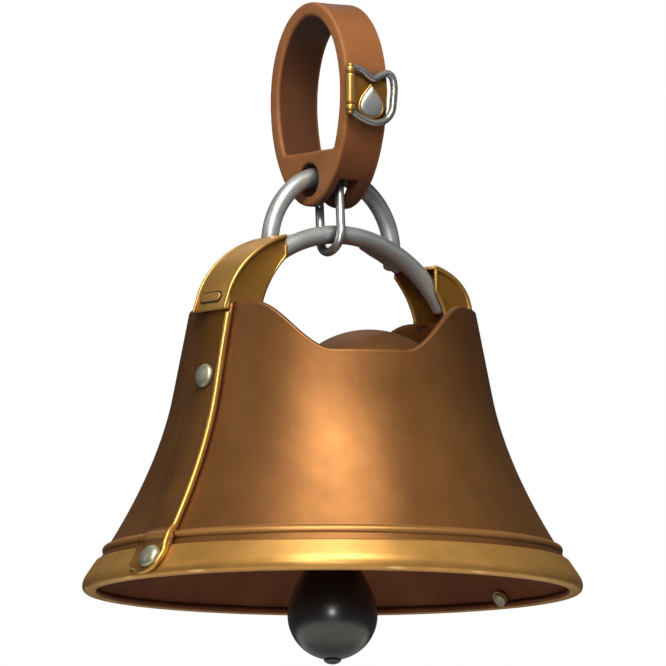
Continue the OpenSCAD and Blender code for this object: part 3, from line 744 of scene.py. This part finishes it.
def arm_wall(arm, sign, y0, y1, start, end, foot):
    """Outer wall between two angles; with a foot it starts as a pad on the strap."""
    rings = []
    ys = [y0 + (y1 - y0) * j / 16 for j in range(17)]
    if foot:
        for z in (99.05, 100.0, 101.0, 102.0):
            r_in, r_out = bell_r(z) + 1.56, bell_r(z) + 3.0
            rings.append([(sign * sqrt(r_out * r_out - y * y), y, z) for y in ys]
                         + [(sign * sqrt(r_in * r_in - y * y), y, z) for y in ys[::-1]])
    for i in range(ARM_STEPS + 1):
        angle = start + (end - start) * i / ARM_STEPS
        xo, zo = arm_point(arm, angle)
        xi, zi = arm_point(arm, angle, 1.5)
        free = min(1.0, i / 12) if foot else 1.0    # 0 where the wall still hugs the strap
        ring = []
        for y in ys:
            drop = (1 - free) * (xo - sqrt(xo * xo - y * y))
            k = 0.30 * (y / ARM_HALF) ** 2 * free
            ring.append((sign * (xo - drop + (xi - xo) * k), y, zo + (zi - zo) * k))
        ring += [(sign * (xi - (1 - free) * 0.3), y, zi) for y in ys[::-1]]
        rings.append(ring)
    return loft(rings)


def arm_cheek(arm, sign, y_sign, end, top, mouth):
    """Dished side plate between the outer wall and the mouth."""
    rings = []
    start = arm.foot_angle + 0.3
    steps = 12
    for i in range(ARM_STEPS + 1):
        s = i / ARM_STEPS
        xo, zo = arm_point(arm, start + (end - start) * s, 0.6)
        zm = CHEEK_Z + (top - CHEEK_Z) * s
        xm = mouth(zm)
        if i == 0:
            xo = min(xo, 46.9)
            zo = zm = 100.4
        elif i == 1:
            zo = CHEEK_Z
        else:
            zo = max(zo, CHEEK_Z)
        outer, inner = [], []
        for j in range(steps + 1):
            u = j / steps
            x = sign * (xo + (xm - xo) * u)
            z = zo + (zm - zo) * u
            dish = 0.95 * sin(pi * u) ** 0.8
            edge = 0.3 if j == steps else 0.0
            outer.append((x, y_sign * (9.95 - dish - edge), z))
            inner.append((x, y_sign * (8.75 - dish * 0.05), z))
        rings.append(outer + inner[::-1])
    return loft(rings)


def outer_bead(arm, sign, y_sign, end, size):
    foot = [(sign * (bell_r(99.4) + 2.7), y_sign * 9.55, 99.4),
            (sign * (bell_r(101.2) + 2.6), y_sign * 9.5, 101.2)]
    path = foot[:1] if arm.foot_angle < 7 else foot
    start = arm.foot_angle + 2
    for i in range(ARM_STEPS + 1):
        x, z = arm_point(arm, start + (end - 0.3 - start) * i / ARM_STEPS, 0.75)
        path.append((sign * x, y_sign * 9.45, z))
    return tube(path, lambda s: size * (0.70 + 0.22 * sin(pi * min(1, s * 1.05)) ** 0.7), 16)


def mouth_bead(sign, y_sign, top, mouth):
    path = []
    for i in range(ARM_STEPS + 1):
        z = 103 + (top + 0.2 - 103) * (i / ARM_STEPS)
        path.append((sign * (mouth(z) + 0.35), y_sign * 9.2, z))
    return tube(path, lambda s: 0.38 + 0.5 * max(0.0, s - 0.25), 14)


def bail_arm(side, sign):
    arm = ARMS[side]
    tip_x = arm_point(arm, arm.tip_angle)[0]
    notch_angle = arm.tip_angle
    while arm_point(arm, notch_angle)[0] < arm.notch:
        notch_angle -= 0.1
    wall = arm_wall(arm, sign, -ARM_HALF, ARM_HALF, arm.foot_angle + 1.5, notch_angle, True)
    parts = [(wall, 0)]
    if arm.notch:
        wall = arm_wall(arm, sign, -1.4, ARM_HALF, notch_angle, arm.tip_angle, False)
        parts.append((wall, 0))
    for y_sign in (-1, 1):
        notched = arm.notch and y_sign < 0
        end = notch_angle if notched else arm.tip_angle
        top = arm_point(arm, end)[1] - (1.2 if notched else 4.6)
        limit = arm.notch if notched else tip_x - 0.4

        def mouth(z):
            return max(mouth_x(arm, z), limit)

        # the left arm's +Y bead is thinner and plain brass
        bold = y_sign < 0 or sign > 0
        parts.append((arm_cheek(arm, sign, y_sign, end, top, mouth), 1))
        parts.append((outer_bead(arm, sign, y_sign, end, 1.0 if bold else 0.72),
                      2 if bold else 0))
        parts.append((mouth_bead(sign, y_sign, top, mouth), 2))
    add_skin(f"bail_arm_{side}", parts, [BRASS, WEB, GOLD], weld=False)


for side, sign in SIDES:
    bail_arm(side, sign)

# ---------------------------------------------------------------- keys in the arms' feet
KEY_Z = 104
# half length, half height, base and crown above the arm, material index:
# a near-black ring of painted shade, standing for a recess round the key, then the crowned key
KEY_LAYERS = ((6.35, 2.05, 0.02, 0.38, 1), (5.85, 1.55, 0.30, 0.62, 0))


def obround(half_length, half_height):
    out = []
    for i in range(40):
        a = 2 * pi * i / 40
        end = (half_length - half_height) * (1 if cos(a) >= 0 else -1)
        out.append((end + half_height * cos(a), half_height * sin(a)))
    return out


def arm_outer_x(arm, z):
    v = max(0.0, (z - ARM_Z) / arm.height) ** arm.power
    return ARM_X + arm.width * (1 - v) ** (1 / arm.power)


def key_layer(arm, sign, half_length, half_height, base, crown):
    rings = []
    # scale of the outline, height above the arm
    for scale, rise in ((1.0, base - 1.2), (1.0, base), (0.98, crown * 0.8), (0.9, crown),
                        (0.6, crown + 0.02), (0.2, crown + 0.02)):
        along = 1 - (1 - scale) * half_height / half_length if scale > 0.5 else scale
        ring = []
        for y, z in obround(half_length, half_height):
            y, z = y * along, KEY_Z + z * scale
            ring.append((sign * (arm_outer_x(arm, z) + rise - y * y / 160.0), y, z))
        rings.append(ring)
    return loft(rings)


for side, sign in SIDES:
    parts = [(key_layer(ARMS[side], sign, *sizes), index) for *sizes, index in KEY_LAYERS]
    add_skin(f"arm_key_{side}", parts, [BRASS, key_gap_shade("key_gap_shade_" + side)])

# ---------------------------------------------------------------- steel hoop, arch and link
HOOP_X, HOOP_Y, HOOP_Z, HOOP_RADIUS = 0.5, -5.2, 76.6, 53
ARCH_X, ARCH_Z, ARCH_RADIUS = 1, 124.9, 27.3
FEET_Y = 1.15                       # the arch's feet follow the hoop's curve

hoop = arc((HOOP_X, HOOP_Y, HOOP_Z), HOOP_RADIUS, 33.2, 135.8, 120)
add_skin("bail_hoop", [(tube(hoop, 3.35, 40), 0)], [STEEL])

legs = (ARCH_X + ARCH_RADIUS, ARCH_X - ARCH_RADIUS)
path = ([(legs[0], ARCH_Y, z) for z in (120.4, 122.5)]
        + arc((ARCH_X, ARCH_Y, ARCH_Z), ARCH_RADIUS, 0, 180, 96)
        + [(legs[1], ARCH_Y, z) for z in (122.5, 120.4)])
parts = [(tube(path, 3.2, 40), 0)]
for start, end in ((55.8, 74.6), (124.2, 105.4)):
    path = arc((HOOP_X, FEET_Y, HOOP_Z), HOOP_RADIUS, start, end, 28)
    parts.append((tube(path, lambda s: 2.88 - 0.6 * max(0, (s - 0.7) / 0.3), 28), 0))
# (radius, z) of the fillet where a leg meets its foot
fillet = [(0, 125.8), (3.0, 125.8), (3.28, 125.0), (3.55, 124.2), (3.75, 123.4), (3.7, 122.6),
          (3.3, 122.0), (2.6, 121.8), (0, 121.8)]
parts += [(lathe(fillet, 36, centre=(x, ARCH_Y, 0)), 0) for x in legs]
add_skin("carry_arch", parts, [STEEL], weld=False)

LINK_BEND = 6                       # radius of both round ends
LINK_TOP, LINK_BOTTOM = Vector((0, ARCH_Y, 151.7)), Vector((-4.5, HOOP_Y, 128.9))
drop = LINK_BOTTOM - LINK_TOP
link_length = drop.length
link_lean = asin(drop.y / link_length)      # about X
link_turn = Matrix.Rotation(asin(-drop.x / link_length / cos(link_lean)), 3, "Y")
link_turn = link_turn @ Matrix.Rotation(link_lean, 3, "X")


def link_end(start, z):
    angles = [start + pi * i / 32 for i in range(33)]
    return [Vector((0, LINK_BEND * cos(a), z + LINK_BEND * sin(a))) for a in angles]


link = (link_end(0, 0)
        + [Vector((0, -LINK_BEND, -link_length * i / 12)) for i in range(1, 12)]
        + link_end(pi, -link_length)
        + [Vector((0, LINK_BEND, -link_length * i / 12)) for i in range(11, 0, -1)])
add_skin("connector_link", [(tube([LINK_TOP + link_turn @ p for p in link], 1.63, 26, True), 0)],
         [BRIGHT], body="link")

# ---------------------------------------------------------------- leather carry loop
STRAP_HALF = 9.2                    # half the leather's width in x
CUT_HALF = 30                       # reach of a cut right through it
BORE_Z, BORE_RADIUS = 149.6, 6.1
INNER_SWEEP = 36.2                  # how far the opening runs below the middle, degrees
SLOT_RADIUS = LINK_BEND + 2.9       # clearance round the link's end
SLOT_SPREAD = radians(21)           # each side of the link's lean
SLOT_REACH = 30


def loop_point(angle, half_width, up, down):
    """(y, z) on an oval whose halves above and below the middle differ"""
    height, power = (up, 2.0) if angle <= 180 else (down, 1.9)
    c, s = cos(radians(angle)), sin(radians(angle))
    return (ARCH_Y + half_width * abs(c) ** (2 / power) * (1 if c > 0 else -1),
            LOOP_Z + height * abs(s) ** (2 / power) * (1 if s > 0 else -1))


def prism(name, outline, x0, x1):
    """Solid along X from (y, z) points."""
    n = len(outline)
    verts = [(x, y, z) for x in (x0, x1) for y, z in outline]
    faces = [(i, (i + 1) % n, n + (i + 1) % n, n + i) for i in range(n)]
    faces += [tuple(range(n - 1, -1, -1)), tuple(range(n, 2 * n))]
    return new_object(name, verts, faces)


def slot_outline():
    """Open-ended slot for the link, round at the top."""
    _, y, z = LINK_TOP
    first, last = link_lean + SLOT_SPREAD, link_lean - SLOT_SPREAD + pi
    points = [(y + SLOT_RADIUS * cos(a), z + SLOT_RADIUS * sin(a))
              for a in (first + (last - first) * i / 32 for i in range(33))]
    (y0, z0), (y1, z1) = points[0], points[-1]
    return ([(y0 + SLOT_REACH * sin(first), z0 - SLOT_REACH * cos(first))] + points
            + [(y1 - SLOT_REACH * sin(last), z1 + SLOT_REACH * cos(last))])


def bake_modifiers(obj):
    bpy.context.view_layer.update()
    depsgraph = bpy.context.evaluated_depsgraph_get()
    mesh = bpy.data.meshes.new_from_object(obj.evaluated_get(depsgraph))
    obj.modifiers.clear()
    obj.data = mesh


def ripple(mesh):
    """Faint waves along the normals, as in hand-cut leather."""
    count = len(mesh.vertices)
    places, normals = np.empty(count * 3, "f"), np.empty(count * 3, "f")
    mesh.vertices.foreach_get("co", places)
    mesh.vertices.foreach_get("normal", normals)
    places, normals = places.reshape(-1, 3), normals.reshape(-1, 3)
    x, y, z = (places * 1000).T
    wave = (np.sin(x * 0.31 + 0.7 * np.sin(z * 0.12)) * np.sin(z * 0.17 + 1.3) * 0.5
            + np.sin(y * 0.23 + z * 0.11 + 2.0 * np.sin(x * 0.2)) * 0.5)
    places = places + normals * (0.00013 * wave)[:, None]
    mesh.vertices.foreach_set("co", places.ravel())
    mesh.update()


outer = [loop_point(2.0 * i, 23.9, 34.4, 39.9) for i in range(180)]
inner_angles = ([2.0 * i for i in range(91)]
                + [180 + INNER_SWEEP * i / 18 for i in range(1, 19)]
                + [360 - INNER_SWEEP * i / 18 for i in range(18, 0, -1)])
inner = [loop_point(a, 19.05, 29.55, 35) for a in inner_angles]
bore = [(ARCH_Y + BORE_RADIUS * cos(2 * pi * i / 64), BORE_Z + BORE_RADIUS * sin(2 * pi * i / 64))
        for i in range(64)]
leather = prism("leather_strap_skin", outer, -STRAP_HALF, STRAP_HALF)
cutters = [prism("cut_in", inner, -CUT_HALF, CUT_HALF),
           prism("cut_bore", bore, -CUT_HALF, CUT_HALF),
           prism("cut_slot", slot_outline(), -4.9, 3.6)]
for cutter in cutters:
    cut = leather.modifiers.new("cut", "BOOLEAN")
    cut.operation = "DIFFERENCE"
    cut.solver = "EXACT"
    cut.object = cutter
bake_modifiers(leather)
for cutter in cutters:
    bpy.data.objects.remove(cutter)
# soften every cut edge
remesh = leather.modifiers.new("remesh", "REMESH")
remesh.mode = "VOXEL"
remesh.voxel_size = 0.00045
soften = leather.modifiers.new("soften", "SMOOTH")
soften.factor = 0.6
soften.iterations = 16
bake_modifiers(leather)
ripple(leather.data)
shade_smooth(leather.data)
leather.data.materials.clear()
leather.data.materials.append(LEATHER)
register(leather, "leather_strap", "strap")

# ---------------------------------------------------------------- clasp
HINGE_X, CLASP_Y = -9.2, -23.5
# (x, z) round the wire frame, from hinge to hinge
CLASP_OUTLINE = [
    (-9.2, 187.4), (-6.5, 188.3), (-3.6, 187.4), (-1.2, 185.8), (1.3, 184.8), (4, 186),
    (6.8, 187.1), (9.4, 186), (10.4, 182.5), (10.1, 177.5), (9.3, 173.2), (6.4, 170),
    (1.6, 168.8), (-3.7, 169.9), (-7.4, 171.9), (-9.2, 173.8)]


def clasp_curve(per):
    return [(p.x, p.y) for p in spline([(x, z, 0) for x, z in CLASP_OUTLINE], per)]


def on_hinge(profile, sides, closed=False):
    return lathe(profile, sides, centre=(HINGE_X, CLASP_Y, 0), closed=closed)


wire = [(x, CLASP_Y, z) for x, z in clasp_curve(8)]
parts = [(tube(wire, lambda s: 0.95 + 0.38 * sin(pi * s) ** 0.4, 22), 0)]
for z in (172.6, 186.4):
    knuckle = [(1.07, z), (1.7, z), (1.86, z + 0.18), (1.9, z + 1.1), (1.86, z + 2.02),
               (1.7, z + 2.2), (1.07, z + 2.2)]
    parts.append((on_hinge(knuckle, 32, closed=True), 1))
add_skin("clasp_frame", parts, [BRIGHT, GOLD], "clasp", weld=False)

STUD_X, STUD_Z, STUD_Y = 0.4, 176.6, -22.5


def teardrop(scale, y, count):
    angles = [2 * pi * i / count for i in range(count)]
    return [(STUD_X + scale * 6.9 * sin(t) * abs(sin(t / 2)) ** 1.2, y,
             STUD_Z + scale * 5.7 * cos(t)) for t in angles]


# scale of the teardrop, distance out from STUD_Y
stud_rows = [(0.90, 0), (0.97, 0.15), (0.97, 0.75), (0.95, 1.0), (0.90, 1.25), (0.84, 1.42),
             (0.76, 1.60), (0.66, 1.78), (0.54, 1.92), (0.40, 2.0), (0.25, 2.05), (0.1, 2.06)]
stud = loft([teardrop(scale, STUD_Y - out, 72) for scale, out in stud_rows])
# (radius, y) of the post
post = lathe([(0, -24), (1.5, -24), (1.5, -15.1), (2.1, -15.08), (2.2, -14.7), (1.8, -14.3),
              (0, -14.2)], 28, axis=Matrix(((1, 0, 0), (0, 0, 1), (0, 1, 0))),
             centre=(STUD_X, 0, STUD_Z))
add_skin("clasp_stud", [(stud, 0), (post, 0)], [STEEL], "strap", weld=False)
# round bead that hugs the stud
bezel = tube(teardrop(1.035, STUD_Y - 0.5, 90), 0.42, 14, True)
add_skin("stud_bezel", [(bezel, 0)], [GOLD], "strap")

# backing plate, the tab to its hinge and the knuckle
outline = [(1 + (x - 1) * 0.77, 178 + (z - 178) * 0.77) for x, z in clasp_curve(4)]
plate_x = sum(x for x, _ in outline) / len(outline)
plate_z = sum(z for _, z in outline) / len(outline)
plate = loft([[(plate_x + (x - plate_x) * k, y, plate_z + (z - plate_z) * k) for x, z in outline]
              for k, y in ((0.97, -21.7), (1.0, -21.85), (1.0, -22.25), (0.97, -22.42),
                           (0.9, -22.45), (0.6, -22.46), (0.3, -22.46))])
corners = ((-1, -1), (1, -1), (1, 1), (-1, 1))
tab = loft([[(-6.7 + 2.45 * k * x, y, 180.6 + 5.2 * k * z) for x, z in corners]
            for k, y in ((0.96, -21.7), (1.0, -21.8), (1.0, -22.35), (0.96, -22.45))])
knuckle = on_hinge([(1.03, 175.15), (1.6, 175.15), (1.78, 175.35), (1.8, 176.2), (1.8, 185.0),
                    (1.78, 185.85), (1.6, 186.05), (1.03, 186.05)], 32, closed=True)
add_skin("clasp_plate", [(plate, 0), (tab, 0), (knuckle, 1)], [WEB, GOLD], "strap", weld=False)
pin = on_hinge([(0, 171.3), (0.9, 171.42), (1.3, 171.8), (1.4, 172.2), (1.3, 172.40),
                (1.0, 172.44), (1.0, 188.75), (1.3, 188.8), (1.4, 189.0), (1.3, 189.4),
                (0.9, 189.8), (0.4, 189.9), (0, 189.92)], 28)
add_skin("clasp_pin", [(pin, 0)], [GOLD], "strap")

# ---------------------------------------------------------------- clapper
BALL_Z, BALL_RADIUS = -8, 16.3
NECK_Z, NECK_RADIUS = 25, 4.2
BORE = 2.83

ball = [(BORE, -24.0), (3.6, -23.92)]
for i in range(1, 30):
    t = radians(-77 + 77 * i / 29)
    ball.append((BALL_RADIUS * cos(t), BALL_Z + BALL_RADIUS * sin(t)))
for i in range(1, 30):
    u = i / 30
    ball.append((NECK_RADIUS + (BALL_RADIUS - NECK_RADIUS) * (0.5 + 0.5 * cos(pi * u)),
                 BALL_Z + (NECK_Z - BALL_Z) * u))
ball += [(4.1, 24.7), (3.7, 25.0), (BORE, 25.0)]
add_skin("clapper_ball", [(lathe(ball, 128, closed=True), 0)], [BLACK], "clapper")
button = [(0, -25.9)]
for i in range(1, 10):
    t = radians(90 * i / 9)
    button.append((3.2 * sin(t), -24.2 - 1.7 * cos(t)))
button += [(2.8, -24.1), (2.8, -21.5), (0, -21.4)]
add_skin("clapper_button", [(lathe(button, 48), 0)], [BLACK], "clapper")

# ---------------------------------------------------------------- CAD pieces that stay
KEPT = {"crown_plate": COPPER_IN, "rivet_burrs": BRASS, "stud_washer": BRASS,
        "clapper_yoke": STEEL, "yoke_washer": STEEL, "yoke_nut": STEEL,
        "clapper_pin": BRIGHT, "pin_circlip": BRIGHT, "clapper_stem": STEEL}
for name, material in KEPT.items():
    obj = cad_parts[name]
    if len(obj.material_slots) == 0:
        obj.data.materials.append(material)
    for slot in obj.material_slots:
        slot.link = "OBJECT"
        slot.material = material


# ---------------------------------------------------------------- stage (metres from here on)
def floor_disc(z=-0.100, radii=(0.06, 0.12, 0.18, 0.25), sides=96):
    verts = [(0.0, 0.0, z)]
    for r in radii:
        verts += [(r * cos(2 * pi * i / sides), r * sin(2 * pi * i / sides), z)
                  for i in range(sides)]
    faces = [(0, 1 + i, 1 + (i + 1) % sides) for i in range(sides)]
    for row in range(len(radii) - 1):
        a, b = 1 + sides * row, 1 + sides * (row + 1)
        faces += [(a + i, b + i, b + (i + 1) % sides, a + (i + 1) % sides) for i in range(sides)]
    mesh = bpy.data.meshes.new("floor")
    mesh.from_pydata(verts, [], faces)
    obj = bpy.data.objects.new("floor", mesh)
    bpy.context.scene.collection.objects.link(obj)
    shade_smooth(mesh)
    return obj


def floor_paper(name):
    """White paper that glows for the camera and hardly lights the bell."""
    s = new_shader(name)
    camera_ray = s.node("LightPath", {}).outputs["Is Camera Ray"]
    s.surface({
        "Base Color": s.ramp(s.noise(3, detail=4), (0.3, (0.80, 0.80, 0.80)),
                             (0.7, (0.84, 0.84, 0.84))),
        "Roughness": 0.9, "Specular IOR Level": 0.1, "Emission Color": (1, 1, 1),
        "Emission Strength": s.ease(camera_ray, over=(0.0, 1.0), to=(0.04, 0.95))})
    return s.material


def studio_world():
    """Dim cool light on the bell, plain white behind it."""
    world = bpy.data.worlds.new("studio")
    bpy.context.scene.world = world
    world.use_nodes = True
    tree = world.node_tree
    tree.nodes.clear()
    output = tree.nodes.new("ShaderNodeOutputWorld")
    mix = tree.nodes.new("ShaderNodeMixShader")
    rays = tree.nodes.new("ShaderNodeLightPath")
    tree.links.new(rays.outputs["Is Camera Ray"], mix.inputs[0])
    for index, colour, strength in ((1, (0.85, 0.88, 0.92, 1), 0.06), (2, (1, 1, 1, 1), 1.0)):
        background = tree.nodes.new("ShaderNodeBackground")
        background.inputs[0].default_value = colour
        background.inputs[1].default_value = strength
        tree.links.new(background.outputs[0], mix.inputs[index])
    tree.links.new(mix.outputs[0], output.inputs[0])


def direction(azimuth, elevation):
    """Unit vector in degrees: azimuth 0 is -Y, and it grows towards +X."""
    a, e = radians(azimuth), radians(elevation)
    return Vector((sin(a) * cos(e), -cos(a) * cos(e), sin(e)))


def place(name, data, target, away, distance):
    """Put a light or camera at a distance from its target, looking at it."""
    obj = bpy.data.objects.new(name, data)
    obj.location = Vector(target) + away * distance
    obj.rotation_euler = away.to_track_quat("Z", "Y").to_euler()
    bpy.context.scene.collection.objects.link(obj)
    return obj


def area(name, azimuth, elevation, distance, size, power, colour=(1, 1, 1), target=(0, 0, 0.09)):
    light = bpy.data.lights.new(name, "AREA")
    light.shape = "RECTANGLE"
    light.size, light.size_y = size
    light.energy = power
    light.color = colour
    obj = place(name, light, target, direction(azimuth, elevation), distance)
    obj.visible_camera = False


floor = floor_disc()
floor.data.materials.append(floor_paper("floor_paper"))
studio_world()

# name, azimuth, elevation, distance, (width, height), watts, colour, target
area("key", -33, 48, 1.1, (0.46, 0.40), 11.5, (1.0, 0.94, 0.82))
area("front", -46, 20, 1.2, (0.16, 0.16), 4.2, (1.0, 0.96, 0.9))
area("low", -37, 2.5, 1.2, (0.10, 0.10), 2.2, (1.0, 0.97, 0.94), target=(0, 0, -0.008))
area("top", -75, 72, 1.2, (0.5, 0.5), 1.4, (1, 0.98, 0.95))
area("rim_left", -112, 25, 1.3, (0.15, 0.8), 0.9, (0.92, 0.96, 1.0))
area("rim_right", 40, 28, 1.3, (0.15, 0.8), 0.5, (1.0, 0.96, 0.92))
area("back_fill", 150, 45, 1.8, (1.0, 1.0), 2.4)
bpy.context.scene.view_settings.view_transform = "Standard"
bpy.context.scene.view_settings.look = "None"

CAMERA_DISTANCE = 9.0
VIEW_WIDTH = 0.2407                 # width seen at the bell
camera = bpy.data.cameras.new("cam")
camera.sensor_width = 36
camera.lens = camera.sensor_width * CAMERA_DISTANCE / VIEW_WIDTH
camera.clip_start = 0.01
camera.clip_end = 50
bpy.context.scene.camera = place("cam", camera, target=(0.0002, 0, 0.0944),
                                 away=direction(-36, -6.0), distance=CAMERA_DISTANCE)
